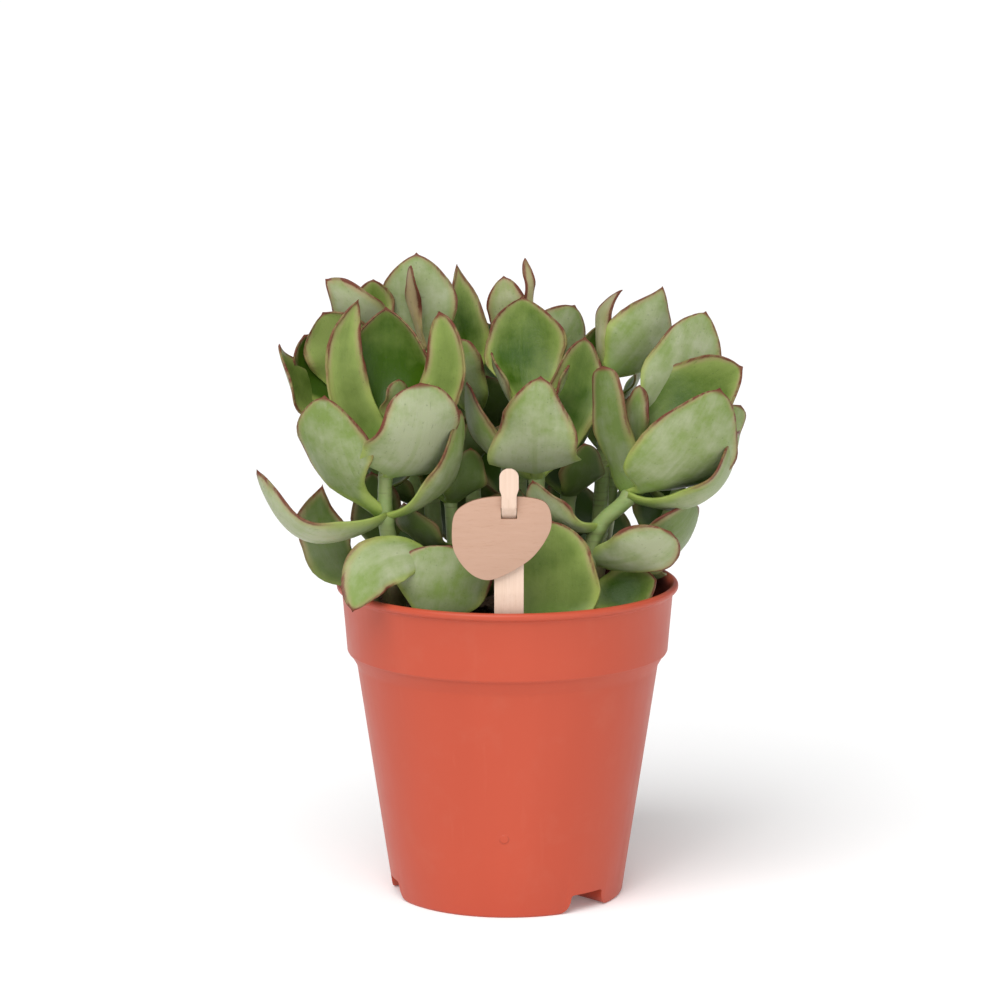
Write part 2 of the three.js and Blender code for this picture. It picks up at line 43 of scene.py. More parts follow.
# a socket that can stand in a sum: 1 - mask, mask * 0.5 and so on add Math nodes
class Channel:
    def __init__(self, finish, socket):
        self.finish = finish
        self.socket = socket

    def sum(self, operation, first, second):
        return self.finish.node("ShaderNodeMath", {"operation": operation}, {0: first, 1: second})

    def __add__(self, other):
        return self.sum("ADD", self, other)

    def __sub__(self, other):
        return self.sum("SUBTRACT", self, other)

    def __mul__(self, other):
        return self.sum("MULTIPLY", self, other)

    def __rsub__(self, other):
        return self.sum("SUBTRACT", other, self)

    __radd__ = __add__
    __rmul__ = __mul__

    def least(self, other):
        return self.sum("MINIMUM", self, other)

    def most(self, other):
        return self.sum("MAXIMUM", self, other)

    def rise(self, low, high):  # 0 below low, 1 above high, smooth between
        return self.finish.node("ShaderNodeMapRange", {"interpolation_type": "SMOOTHSTEP"},
                                {"Value": self, "From Min": low, "From Max": high})

    def fall(self, low, high):
        return 1 - self.rise(low, high)


# one material, with a call for each kind of node it needs
class Finish:
    def __init__(self, name, **fixed):
        self.material = bpy.data.materials.new(name)
        self.material.use_nodes = True
        self.tree = self.material.node_tree
        self.surface = self.tree.nodes["Principled BSDF"]
        for socket, value in fixed.items():
            self.surface.inputs[socket.replace("_", " ")].default_value = value

    def node(self, kind, settings, places, output=0):
        made = self.tree.nodes.new(kind)
        for key, value in settings.items():
            setattr(made, key, value)
        for key, value in places.items():
            self.join(made.inputs[key], value)
        return Channel(self, made.outputs[output])

    def join(self, socket, value):
        if isinstance(value, Channel):
            self.tree.links.new(value.socket, socket)
        elif isinstance(value, tuple) and len(value) == 3 and socket.type == "RGBA":
            socket.default_value = (*value, 1)
        else:
            socket.default_value = value

    def mix(self, share, first, second):
        return self.node("ShaderNodeMix", {"data_type": "RGBA"}, {0: share, 6: first, 7: second}, 2)

    def stretch(self, place, scale):
        return self.node("ShaderNodeVectorMath", {"operation": "MULTIPLY"}, {0: place, 1: scale})

    def cloud(self, place, scale, detail=3.0, roughness=0.5):
        return self.node("ShaderNodeTexNoise", {}, {
            "Vector": place, "Scale": scale, "Detail": detail, "Roughness": roughness})

    def cells(self, place, scale):
        return self.node("ShaderNodeTexVoronoi", {}, {"Vector": place, "Scale": scale})

    def attribute(self, name, output="Fac"):
        return self.node("ShaderNodeAttribute", {"attribute_name": name}, {}, output)

    def place(self):
        return self.node("ShaderNodeTexCoord", {}, {}, "Object")

    def bump(self, height, strength, distance):
        return self.node("ShaderNodeBump", {}, {
            "Height": height, "Strength": strength, "Distance": distance})

    def set(self, **links):
        for socket, value in links.items():
            self.join(self.surface.inputs[socket.replace("_", " ")], value)
        return self.material


leafLook = {
    "silver": (0.35, 0.385, 0.235), "silverShade": (0.19, 0.265, 0.07), "shadeGreen": (0.03, 0.06, 0.008),
    "inside": (0.036, 0.085, 0.001), "insidePale": (0.24, 0.31, 0.08), "sunnyRim": (0.33, 0.4, 0.09),
    "blush": (0.36, 0.24, 0.15), "redRim": (0.14, 0.042, 0.024), "petiole": (0.17, 0.28, 0.05),
    "speck": (0.06, 0.085, 0.03), "dry": (0.5, 0.35, 0.18),
}


def leafSkin():
    look = leafLook
    skin = Finish("leafSkin", Subsurface_Weight=0.08, Subsurface_Scale=0.0015,
                  Subsurface_Radius=(0.6, 1.0, 0.3), Specular_IOR_Level=0.16)
    rim = skin.attribute("rimDistance")
    along = skin.attribute("alongLeaf")
    facing = skin.attribute("facing")
    blush = skin.attribute("blush")
    tone = skin.attribute("tone")
    place = skin.attribute("leafPlace", "Vector")
    side = skin.node("ShaderNodeSeparateXYZ", {}, {"Vector": place}, 0)

    mottle = skin.cloud(place, 0.13, 5.0, 0.62)
    patch = skin.cloud(place, 0.05, 2.0)
    streak = skin.cloud(skin.stretch(place, (0.5, 0.06, 1.0)), 1.0, 5.0, 0.6)
    grain = skin.cloud(place, 3.0, 3.0)
    bloom = 0.62 + tone * 0.5 + (mottle - 0.5) * 2.0 + (patch - 0.5) * 1.6 + (streak - 0.5) * 0.7
    bloom = bloom - along.rise(0.5, 1.0) * 0.2 - rim.fall(0.5, 5.0) * 0.3
    outside = skin.mix(bloom.most(0).least(1), look["silverShade"], look["silver"])
    midrib = (side * side).fall(0.0, 1.5) * along.fall(0.4, 0.8)
    outside = skin.mix(midrib * 0.3, outside, look["silverShade"])
    # the inner face: its own fresher green, paler towards rim and tip; its dark end is painted shade
    # inside the cupped leaves
    pale = 0.08 + tone * 0.8 + (mottle - 0.5) * 0.7 + (streak - 0.5) * 0.2 + (patch - 0.5) * 1.2
    pale = pale + rim.fall(0.5, 7.0) * 0.4 + along.rise(0.5, 1.0) * 0.3
    inside = skin.mix(pale.most(0).least(1), look["inside"], look["insidePale"])
    colour = skin.mix(facing, outside, inside)
    # painted shade: leaves with a tone below -0.2 are mixed towards a dark green, for the shade inside the
    # plant
    colour = skin.mix(tone.fall(-1.0, -0.2) * 0.85, colour, look["shadeGreen"])

    colour = skin.mix(along.fall(0.03, 0.28) * 0.6, colour, look["petiole"])
    # painted light: a yellow-green glow along the thin margins of the lower blade, where light shines
    # through the leaf
    sunny = rim.fall(0.2, 3.4) * (along.fall(0.45, 0.85) * 0.6 + 0.1) * (0.4 + mottle)
    colour = skin.mix(sunny * tone.rise(-1.0, -0.4), colour, look["sunnyRim"])
    dry = (blush - 1.3).most(0).least(1) * (0.55 + streak * 0.45)
    colour = skin.mix(dry, colour, look["dry"])
    upper = along.rise(0.28, 0.62) * blush.least(1.3) * (0.4 + streak.rise(0.35, 0.6) * 0.6)
    ragged = rim + (grain - 0.5) * 0.6 + (mottle - 0.5) * 1.4
    colour = skin.mix(ragged.fall(0.6, 3.2) * upper * 0.6, colour, look["blush"])
    colour = skin.mix(ragged.fall(0.3, 1.35) * upper, colour, look["redRim"])
    colour = skin.mix(along.rise(0.95, 0.985) * 0.9, colour, look["redRim"])

    dots = skin.cells(place, 0.55).fall(0.08, 0.24) * skin.cloud(place, 0.3, 3.0).rise(0.46, 0.6)
    scratch = skin.cloud(skin.stretch(place, (2.2, 0.3, 1.0)), 1.0, 2.0).rise(0.66, 0.74)
    marks = dots * 0.3 + scratch * patch.rise(0.45, 0.6) * 0.35
    colour = skin.mix(marks.least(0.6), colour, look["speck"])
    rough = 0.4 + (mottle - 0.5) * 0.4 + (grain - 0.5) * 0.12 - facing * 0.05
    height = grain * 0.25 + streak * 0.7 + mottle * 1.5
    return skin.set(Base_Color=colour, Roughness=rough, Normal=skin.bump(height, 0.35, 0.0005))


def stemSkin():
    skin = Finish("stemSkin", Subsurface_Weight=0.08, Subsurface_Scale=0.001)
    place = skin.place()
    height = skin.attribute("alongStem")
    patch = skin.cloud(place, 180.0, 4.0)
    ringed = skin.cloud(skin.stretch(place, (60.0, 60.0, 900.0)), 1.0, 3.0)
    bark = (height.fall(0.1, 0.6) * 0.8 + (patch - 0.5) * 0.9).most(0).least(1)
    green = skin.mix(patch, (0.16, 0.25, 0.06), (0.29, 0.35, 0.14))
    colour = skin.mix(bark, green, (0.13, 0.08, 0.04))
    colour = skin.mix(ringed.rise(0.55, 0.7) * 0.4, colour, (0.12, 0.1, 0.04))
    return skin.set(Base_Color=colour, Roughness=0.5 + (patch - 0.5) * 0.3,
                    Normal=skin.bump(ringed + patch, 0.5, 0.0004))


# three numbers a point, in mm: the path that a stem or the tag's outline follows
def pathPoint(points, share, closed=False):
    count = len(points)
    spot = (count if closed else count - 1) * share
    first = int(math.floor(spot))
    weight = spot - first
    if not closed and first >= count - 1:
        first, weight = count - 2, 1.0
    knots = [Vector(points[(first + k) % count]) for k in (-1, 0, 1, 2)]
    if not closed and first == 0:
        knots[0] = 2 * knots[1] - knots[2]
    if not closed and first + 2 >= count:
        knots[3] = 2 * knots[2] - knots[1]
    steps = [(knots[k + 1] - knots[k]).length_squared ** 0.25 for k in range(3)]
    before, between, after = [max(step, 1e-4) for step in steps]
    startSlope = between * ((knots[1] - knots[0]) / before
                            - (knots[2] - knots[0]) / (before + between)
                            + (knots[2] - knots[1]) / between)
    endSlope = between * ((knots[2] - knots[1]) / between
                          - (knots[3] - knots[1]) / (between + after)
                          + (knots[3] - knots[2]) / after)
    square = 3 * (knots[2] - knots[1]) - 2 * startSlope - endSlope
    cube = 2 * (knots[1] - knots[2]) + startSlope + endSlope
    return knots[1] + weight * (startSlope + weight * (square + weight * cube))


def pathTangent(points, share):
    low, high = max(share - 0.0001, 0), min(share + 0.0001, 1)
    return (pathPoint(points, high) - pathPoint(points, low)).normalized()


def shareAtHeight(points, height):
    low, high = 0.0, 1.0
    for _ in range(30):
        middle = (low + high) / 2
        if pathPoint(points, middle).z < height:
            low = middle
        else:
            high = middle
    return low


# stems run through points in mm; a leaf grows at the height foot towards the compass direction az
# (0 to the viewer, 90 to the right), rising by rise degrees, its inner face turned by roll
leafShape = {
    "roll": 0, "bow": 3, "side": 0, "cup": 25, "skew": 0, "peak": 0.58, "tip": 0.65, "neck": 0.3,
    "stalk": 0, "crisp": 0, "wave": 1,
}
leafBuild = {
    "thickness": 1.2, "thinnest": 0.42, "across": 12, "rows": 30, "rimRound": 0.3,
    "unevenness": 0.45, "rimWobble": 0.3, "bladeEnd": 0.985, "tipWidth": 0.05,
    "outRipples": 2.1, "upRipples": 1.6, "otherSideLag": 2.2, "broad": 20, "broadExtra": 4,
}
# how waxy a leaf is, by its number in the shoot: 1 silver, 0 usual, -1 the dark green of painted shade,
# given to leaves hidden inside the plant or in shade
leafTone = {
    "left_front_shoot": {0: -0.35, 1: 0.4, 2: 0.75, 3: -0.3, 4: -0.25, 5: 0.5, 7: 0.6},
    "left_back_shoot": {0: 0.5, 1: 1.7, 2: 0.6, 4: -0.75, 5: -0.6},
    "back_left_shoot": {0: 0.2, 1: 1.2},
    "centre_shoot": {0: 0.2, 1: -0.4, 2: 0.15, 3: 0.5, 4: 0.2, 5: 0.1},
    "centre_back_shoot": {0: 0.1, 1: 0.3, 2: 0.1},
    "right_front_shoot": {0: -0.15, 1: -0.3, 2: 0.2, 3: 0.0, 4: -0.6, 5: 0.1, 6: 0.3, 7: 0.6, 8: -0.55},
    "right_back_shoot": {0: -0.2, 1: 0.1},
    "low_left_shoot": {0: -0.05, 1: -0.35},
    "low_right_shoot": {0: 0.45},
    "low_edge_shoot": {0: -0.75},
    "right_side_shoot": {1: -0.75},
    "rear_shoot": {0: -0.75},
}
# how red a leaf's rim is: 1 usual, above 1.3 its skin dries to tan as well
leafBlush = {
    "back_left_shoot": {1: 2.2},
    "centre_back_shoot": {0: 1.45, 1: 1.6},
    "right_back_shoot": {1: 1.6},
    "left_back_shoot": {2: 1.35},
}
# lower leaves hidden in the plant: their tone paints them the dark green of shade
hiddenLeaf = {"tone": -0.75, "blush": 0.5}
stemBuild = {
    "footRadius": 3.3, "topRadius": 2.1, "around": 14, "stepLength": 1.6, "nodeSwell": 0.12,
    "nodeReach": 1.3, "unevenness": 0.06,
}

shoots = {
    "left_front_shoot": {
        "stem": [(-37, -21, 90), (-39, -25, 118), (-42, -27, 139), (-42, -27, 153), (-40, -21, 170)],
        "leaves": [
            dict(foot=138.5, az=-64, rise=63, long=50, wide=31, roll=-30, bow=5, side=-4.6, cup=26,
                 peak=0.54, neck=0.2, stalk=0.33, wave=1.6),
            dict(foot=153, az=34, rise=58, long=42, wide=33.5, roll=10, bow=8, side=2, cup=18,
                 peak=0.4, tip=0.38, neck=0.15, stalk=0.1, crisp=0.7, wave=1.6),
            dict(foot=139, az=-81, rise=22, long=48, wide=22, roll=-24, bow=16.5, cup=38,
                 peak=0.46),
            dict(foot=139, az=84, rise=56, long=46, wide=19, roll=20, bow=11, cup=35),
            dict(foot=163.5, az=-174, rise=76, long=48, wide=37, roll=10, bow=6, side=0, cup=75,
                 peak=0.5, tip=0.75),
            dict(foot=161, az=99, rise=70, long=52, wide=17, roll=-53, bow=4, side=-9.5, cup=30,
                 peak=0.5, tip=0.5),
            dict(foot=169, az=45, rise=78, long=18, wide=12, bow=1),
            dict(foot=161, az=-106, rise=79, long=54, wide=16, roll=48, bow=4, side=9, cup=30,
                 peak=0.42, tip=0.7),
        ],
    },
    "left_back_shoot": {
        "stem": [(-38, 2, 90), (-46, 2, 130), (-54, 0, 162), (-53, 3, 178), (-46, 9, 192)],
        "leaves": [
            dict(foot=166, az=-67, rise=49, long=41, wide=23, roll=39, bow=6, peak=0.45, tip=1.1,
                 wave=1.5),
            dict(foot=173, az=-61, rise=71, long=36, wide=29, roll=138, bow=2, side=-3, cup=26,
                 wave=1.4),
            dict(foot=192, az=-68, rise=54, long=32, wide=18, roll=-54, side=3.5, cup=30, peak=0.46,
                 tip=0.8),
            dict(foot=189, az=122, rise=88, long=28, wide=16, roll=-58, bow=2),
            dict(foot=122, az=-16, rise=69, long=32, wide=18, roll=-21, bow=7, cup=25),
            dict(foot=171, az=-97, rise=58, long=32, wide=24, roll=58, bow=4, cup=29),
        ],
        "lower": dict(start=120, end=160, pairs=3, turn=20, long=34, wide=20, seed=1, fallen=[0]),
    },
    "back_left_shoot": {
        "stem": [(-24, 18, 90), (-27, 20, 140), (-30, 19, 180), (-29, 12, 192)],
        "leaves": [
            dict(foot=184, az=-14, rise=79, long=43, wide=27, roll=-9, bow=4, cup=32, tip=0.75),
            dict(foot=192, az=-19, rise=66, long=34, wide=7, roll=35, bow=1, side=-1.5),
        ],
        "lower": dict(start=128, end=176, pairs=3, turn=70, long=34, wide=20, seed=1),
    },
    "inner_left_shoot": {
        "stem": [(-10, 12, 90), (-12, 14, 140), (-11, 16, 180)],
        "leaves": [
            dict(foot=180, az=-146, rise=73, long=42, wide=15.5, roll=15, bow=2, peak=0.45,
                 tip=1.2),
            dict(foot=169, az=-27, rise=64, long=31, wide=14.5, roll=-15, tip=0.3),
        ],
        "lower": dict(start=116, end=150, pairs=2, turn=90, long=26, wide=15, seed=81, front=True),
    },
    "centre_shoot": {
        "stem": [(11, -14, 90), (11, -15, 125), (10, -15, 150), (8, -7, 168), (7, 0, 176)],
        "leaves": [
            dict(foot=150, az=3, rise=60, long=46, wide=31, roll=6, bow=7, side=-0.8, cup=14,
                 peak=0.25, tip=0.55, neck=0.14, stalk=0.17, crisp=0.8, wave=2),
            dict(foot=150, az=-92, rise=55, long=42, wide=18, roll=-28, bow=8, cup=30),
            dict(foot=171, az=-171, rise=67, long=43, wide=29, roll=9, cup=34, tip=0.8, wave=1.6),
            dict(foot=168, az=-70, rise=61, long=30, wide=9, roll=11, bow=2),
            dict(foot=168, az=70, rise=57, long=26, wide=9, roll=-12, bow=2),
            dict(foot=152, az=137, rise=61, long=52, wide=20, roll=-56, side=-4),
        ],
    },
    "centre_back_shoot": {
        "stem": [(4, 24, 90), (4, 22, 140), (5, 21, 180), (6, 22, 190)],
        "leaves": [
            dict(foot=180, az=-99, rise=80, long=37, wide=16.5, roll=-79),
            dict(foot=190, az=3, rise=88, long=33, wide=5.4, roll=-30, side=0.2, peak=0.4),
            dict(foot=172, az=100, rise=60, long=39, wide=26, roll=72, bow=2),
        ],
        "lower": dict(start=118, end=176, pairs=3, turn=70, long=28, wide=19, seed=1, front=True),
    },
    "right_front_shoot": {
        "stem": [(27, -20, 90), (28, -23, 122), (32, -26, 136), (42, -28, 147), (45, -20, 160),
                 (45, -8, 172)],
        "leaves": [
            dict(foot=147, az=59, rise=49, long=53, wide=39.5, roll=32, bow=8, cup=22, skew=0.12,
                 peak=0.5, neck=0.15, stalk=0.14, crisp=0.3, wave=1.5),
            dict(foot=146, az=99, rise=30, long=45, wide=32, roll=24, bow=14, peak=0.68, tip=0.5),
            dict(foot=160, az=91, rise=40, long=47, wide=32, roll=-62, bow=4, side=3, cup=28,
                 peak=0.46, tip=0.7, wave=1.4),
            dict(foot=167, az=121, rise=55, long=48.5, wide=31, roll=93, side=0.5, cup=22,
                 skew=0.25, peak=0.55, tip=0.8, wave=1.3),
            dict(foot=147, az=-80, rise=78, long=46, wide=15, roll=-43, cup=30, peak=0.55,
                 tip=0.25),
            dict(foot=161, az=27, rise=88, long=23, wide=9, roll=57, bow=2),
            dict(foot=135, az=-63, rise=36, long=32, wide=16, roll=-23, bow=6, side=-2),
            dict(foot=124, az=57, rise=21, long=35, wide=22, roll=50, bow=3, side=3, peak=0.62,
                 tip=0.5),
            dict(foot=124, az=104, rise=22, long=42.5, wide=33, roll=45, bow=10, peak=0.66,
                 tip=0.48, neck=0.15, stalk=0.3),
            dict(foot=108, az=84, rise=19, long=26, wide=18, roll=-63, bow=2),
        ],
    },
    "right_back_shoot": {
        "stem": [(30, 12, 90), (33, 11, 140), (35, 7, 184)],
        "leaves": [
            dict(foot=184, az=102, rise=57, long=36, wide=24, roll=86, side=2.4, cup=34, peak=0.45,
                 tip=1.1),
            dict(foot=184, az=80, rise=80, long=30, wide=12.5, roll=150, side=-7, peak=0.42,
                 tip=1.1),
        ],
        "lower": dict(start=126, end=174, pairs=3, turn=20, long=34, wide=20, seed=1),
    },
    "right_side_shoot": {
        "stem": [(44, 6, 90), (52, 8, 120), (62, 6, 148)],
        "leaves": [
            dict(foot=146, az=84, rise=53, long=34, wide=17, roll=50, tip=0.4),
            dict(foot=123, az=-171, rise=70, long=31, wide=21, roll=33, bow=5, cup=31),
        ],
        "lower": dict(start=112, end=136, pairs=2, turn=-5, long=28, wide=17, seed=4, front=True),
    },
    "low_left_shoot": {
        "stem": [(-25, -36, 90), (-26, -36, 108), (-26, -34, 128)],
        "leaves": [
            dict(foot=124.8, az=-57, rise=-24, long=35, wide=18.5, roll=-123, side=8, skew=0.12,
                 peak=0.5),
            dict(foot=104, az=73, rise=77, long=28, wide=34, roll=73, bow=2, cup=15),
        ],
    },
    "low_right_shoot": {
        "stem": [(14, -40, 90), (14, -41, 108)],
        "leaves": [
            dict(foot=104, az=163, rise=86, long=36, wide=32, roll=-17, bow=2, side=-1, cup=20,
                 peak=0.38, tip=0.6),
        ],
    },
    "low_edge_shoot": {
        "stem": [(-46, -13, 90), (-47, -13, 113)],
        "leaves": [
            dict(foot=111.5, az=-60, rise=63, long=43, wide=19, roll=-50, side=-7, cup=22,
                 skew=-0.15, peak=0.52, tip=1.1, wave=1.8),
        ],
    },
    "middle_left_shoot": {
        "stem": [(-17, -12, 90), (-18, -12, 118), (-20, -8, 142)],
        "leaves": [],
        "lower": dict(start=107, end=141, pairs=3, turn=45, long=32,
                      wide=22, seed=19, front=True, fallen=[1]),
    },
    "middle_right_shoot": {
        "stem": [(19, 0, 90), (20, 0, 118), (22, 4, 150), (23, 6, 158)],
        "leaves": [],
        "lower": dict(start=112, end=156, pairs=4, turn=15, long=30,
                      wide=21, seed=39, front=True, fallen=[0, 1, 2]),
    },
    "rear_left_shoot": {
        "stem": [(-24, 34, 90), (-31, 38, 122), (-34, 40, 152), (-35, 40, 168)],
        "leaves": [],
        "lower": dict(start=114, end=166, pairs=4, turn=50, long=36,
                      wide=25, seed=11, front=True, fallen=[0, 5]),
    },
    "rear_shoot": {
        "stem": [(3, 41, 90), (2, 46, 120), (0, 47, 148), (-1, 46, 172)],
        "leaves": [
            dict(foot=128, az=-150, rise=49, long=38, wide=18, roll=59, bow=7, cup=28),
        ],
        "lower": dict(start=112, end=170, pairs=5, turn=60, long=37,
                      wide=26, seed=19, front=True, fallen=[0, 4, 5]),
    },
    "rear_right_shoot": {
        "stem": [(28, 34, 90), (35, 38, 122), (38, 40, 152), (38, 40, 168)],
        "leaves": [],
        "lower": dict(start=114, end=166, pairs=4, turn=10, long=35,
                      wide=25, seed=3, front=True, fallen=[0, 3]),
    },
}


# lower pairs stand a quarter turn from the pair below; the draw is seeded
def leafPairs(start, end, pairs, turn, long, wide, seed, front=False, fallen=()):
    state = seed

    def draw():
        nonlocal state
        state = (state * 16807) % 2147483647
        return state / 2147483647

    leaves = []
    for k in range(pairs):
        share = k / (pairs - 1)
        for half in (0, 180):
            az = (turn + 90 * k + half + 24 * (draw() - 0.5) + 720) % 360
            leaf = dict(foot=start + (end - start) * share, az=az)
            leaf["rise"] = 26 + 42 * share + 14 * (draw() - 0.5)
            leaf["long"] = long * (1 - 0.25 * share) * (0.92 + 0.16 * draw())
            leaf["wide"] = wide * (1 - 0.3 * share) * (0.92 + 0.16 * draw())
            leaf["roll"] = 30 * (draw() - 0.5)
            leaf["bow"] = 3 + 3 * draw()
            leaf["cup"] = 18 + 16 * draw()
            leaf["dropped"] = len(leaves) in fallen
            if front or 75 < az < 285:
                leaves.append(leaf)
    return leaves


def leafHalfWidth(leaf, t):
    s = min(t / leafBuild["bladeEnd"], 1)
    root = leaf["tip"] * leaf["peak"] / (1 - leaf["peak"])
    bell = (s / leaf["peak"]) ** root * ((1 - s) / (1 - leaf["peak"])) ** leaf["tip"]
    if leaf["stalk"]:
        spread = 0.7 - 0.6 * leaf["crisp"]
        low, high = (1 - spread) * leaf["stalk"], (1 + spread) * leaf["stalk"]
        x = min(max((t - low) / (high - low), 0), 1)
        bell *= x * x * (3 - 2 * x)
    petiole = leaf["neck"] * (1 - t) ** 2
    point = leafBuild["tipWidth"] * min(1, (1 - t) / 0.05)
    return leaf["wide"] / 2 * math.hypot(bell, petiole, point)


def growLeaf(bm, layers, leaf, foot, number):
    build = leafBuild
    az, rise = math.radians(leaf["az"]), math.radians(leaf["rise"])
    alongAxis = Vector((math.sin(az) * math.cos(rise), -math.cos(az) * math.cos(rise), math.sin(rise)))
    inner = Vector((-math.sin(az) * math.sin(rise), math.cos(az) * math.sin(rise), math.cos(rise)))
    inner.rotate(Quaternion(alongAxis, -math.radians(leaf["roll"])))
    across = inner.cross(alongAxis)

    steps = build["across"] + (build["broadExtra"] if leaf["wide"] > build["broad"] else 0)
    sweep = [math.sin(math.pi / 2 * (1 - 2 * k / steps)) for k in range(steps + 1)]
    ring = [(v, 1) for v in sweep] + [(-1, 0)] + [(-v, -1) for v in sweep] + [(1, 0)]
    rows = build["rows"]
    sheet = bmesh.ops.create_grid(bm, x_segments=len(ring), y_segments=rows, size=1)["verts"]
    stations = {}
    for row in range(rows + 1):
        t = max(0.0, min(1.0, (row - 1) / (rows - 2)))
        t = 0.5 * t + 0.5 * math.sin(math.pi / 2 * t)  # closer together near the tip
        bend, slope = 4 * t * (1 - t), 4 * (1 - 2 * t)
        middle = (foot + alongAxis * leaf["long"] * t + across * leaf["side"] * bend
                  - inner * leaf["bow"] * bend)
        tangent = (alongAxis * leaf["long"] + across * leaf["side"] * slope
                   - inner * leaf["bow"] * slope).normalized()
        up = (inner - tangent * inner.dot(tangent)).normalized()
        stations[row] = (t, middle, up, up.cross(tangent), leafHalfWidth(leaf, t))

    for vert in sheet:
        column = round((vert.co.x + 1) / 2 * len(ring)) % len(ring)
        row = round((vert.co.y + 1) / 2 * rows)
        v, face = ring[column]
        t, middle, up, out, width = stations[row]
        fold = math.radians(leaf["cup"]) * (1 - 0.35 * t)
        lean = fold * v
        phase = leaf["phase"] + (0 if v > 0 else build["otherSideLag"])
        swell = max(math.sin(math.pi * t), 0) ** 0.6
        ripple = leaf["wave"] * swell
        bulge = math.sqrt(max(1 - v * v, 0))
        half = build["thickness"] * (1.25 - 0.75 * t) * (0.25 + 0.5 * bulge) * (1 - 0.6 * t ** 6)
        thick = face * max(build["thinnest"], half) * min(1, (1 - t) / 0.02)
        aside = (width * math.sin(lean) / fold * (1 + leaf["skew"] * v) - thick * math.sin(lean)
                 + 0.5 * ripple * v * math.sin(build["outRipples"] * 2 * math.pi * t + 1.7 * phase))
        lift = (width * (1 - math.cos(lean)) / fold + thick * math.cos(lean)
                + ripple * abs(v) ** 1.8 * math.sin(build["upRipples"] * 2 * math.pi * t + phase))
        spot = Vector((v * width * 0.12, t * leaf["long"] * 0.1, number * 7.3))
        lift += build["unevenness"] * swell * noise.noise(spot)
        wobble = noise.noise(Vector((v * 2.0, t * leaf["long"] * 0.35, number * 3.1 + 40)))
        aside += build["rimWobble"] * swell * abs(v) ** 3 * v * wobble
        if face == 0:
            aside += build["rimRound"] * v * min(1, (1 - t) / 0.03)
        if row == 0:
            place = foot
        elif row == rows:
            place = middle
        else:
            place = middle + out * aside + up * lift
        vert.co = place * mm
        vert[layers["rimDistance"]] = (1 - abs(v)) * width
        vert[layers["alongLeaf"]] = t
        vert[layers["facing"]] = 0.5 + 0.5 * face
        vert[layers["blush"]] = leaf["blush"]
        vert[layers["tone"]] = leaf["tone"]
        vert[layers["leafPlace"]] = Vector((v * width, t * leaf["long"], number * 13.7))
    bmesh.ops.remove_doubles(bm, verts=sheet, dist=1e-7)


def growStem(bm, layers, points, feet):
    build = stemBuild
    length = sum((Vector(b) - Vector(a)).length for a, b in zip(points, points[1:]))
    rows = max(8, round(length / build["stepLength"]))
    count = build["around"]
    sheet = bmesh.ops.create_grid(bm, x_segments=count, y_segments=rows, size=1)["verts"]
    stations = []
    for row in range(rows + 1):
        share = row / rows
        centre = pathPoint(points, share)
        along = pathTangent(points, share)
        side = Vector((0, 1, 0)).cross(along).normalized()
        radius = build["footRadius"] + (build["topRadius"] - build["footRadius"]) * share
        for foot in feet:
            away = (centre.z - foot) / build["nodeReach"]
            radius *= 1 + build["nodeSwell"] * math.exp(-away ** 2)
        stations.append((centre, side, along.cross(side), radius if 0 < row < rows else 0))
    for vert in sheet:
        turn = 2 * math.pi * round((vert.co.x + 1) / 2 * count) / count
        row = round((vert.co.y + 1) / 2 * rows)
        centre, side, other, radius = stations[row]
        spot = centre * 0.4 + Vector((math.cos(turn), math.sin(turn), 0))
        radius *= 1 + build["unevenness"] * noise.noise(spot)
        place = centre + side * radius * math.cos(turn) + other * radius * math.sin(turn)
        vert.co = place * mm
        vert[layers["alongStem"]] = (centre.z - 100) / 60
    bmesh.ops.remove_doubles(bm, verts=sheet, dist=1e-7)


def placePiece(bm, name):
    mesh = bpy.data.meshes.new(name)
    bm.to_mesh(mesh)
    bm.free()
    piece = bpy.data.objects.new(name, mesh)
    bpy.context.scene.collection.objects.link(piece)
    return piece


def finishPiece(bm, name, materials, node, angle=None):
    bmesh.ops.recalc_face_normals(bm, faces=bm.faces)
    piece = placePiece(bm, name)
    for material in materials:
        piece.data.materials.append(material)
    piece.data.shade_smooth()
    if angle is not None:
        piece.data.set_sharp_from_angle(angle=math.radians(angle))
    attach(piece, "root")
    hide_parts(node)
    return piece


def growShoot(name, shoot, number, materials):
    bm = bmesh.new()
    layers = {key: bm.verts.layers.float.new(key)
              for key in ("rimDistance", "alongLeaf", "facing", "blush", "tone", "alongStem")}
    layers["leafPlace"] = bm.verts.layers.float_vector.new("leafPlace")
    lower = leafPairs(**shoot["lower"]) if "lower" in shoot else []
    rows = shoot["leaves"] + lower
    growStem(bm, layers, shoot["stem"], sorted({row["foot"] for row in rows}))
    for face in bm.faces:
        face.material_index = 1
    stemFaces = set(bm.faces)
    for order, row in enumerate(rows):
        if row.get("dropped"):
            continue
        leaf = {**leafShape, "phase": 2.4 * order, **row}
        leaf["tone"] = leafTone.get(name, {}).get(order, 0.0)
        leaf["blush"] = leafBlush.get(name, {}).get(order, 1.0)
        if order >= len(shoot["leaves"]):
            leaf.update(hiddenLeaf)
        foot = pathPoint(shoot["stem"], shareAtHeight(shoot["stem"], leaf["foot"]))
        growLeaf(bm, layers, leaf, foot, number * 20 + order)
    for face in bm.faces:
        if face not in stemFaces:
            face.material_index = 0
    finishPiece(bm, name + "_leaves", materials, name)


skins = [leafSkin(), stemSkin()]
for number, (name, shoot) in enumerate(shoots.items()):
    growShoot(name, shoot, number, skins)
print("shoots grown")


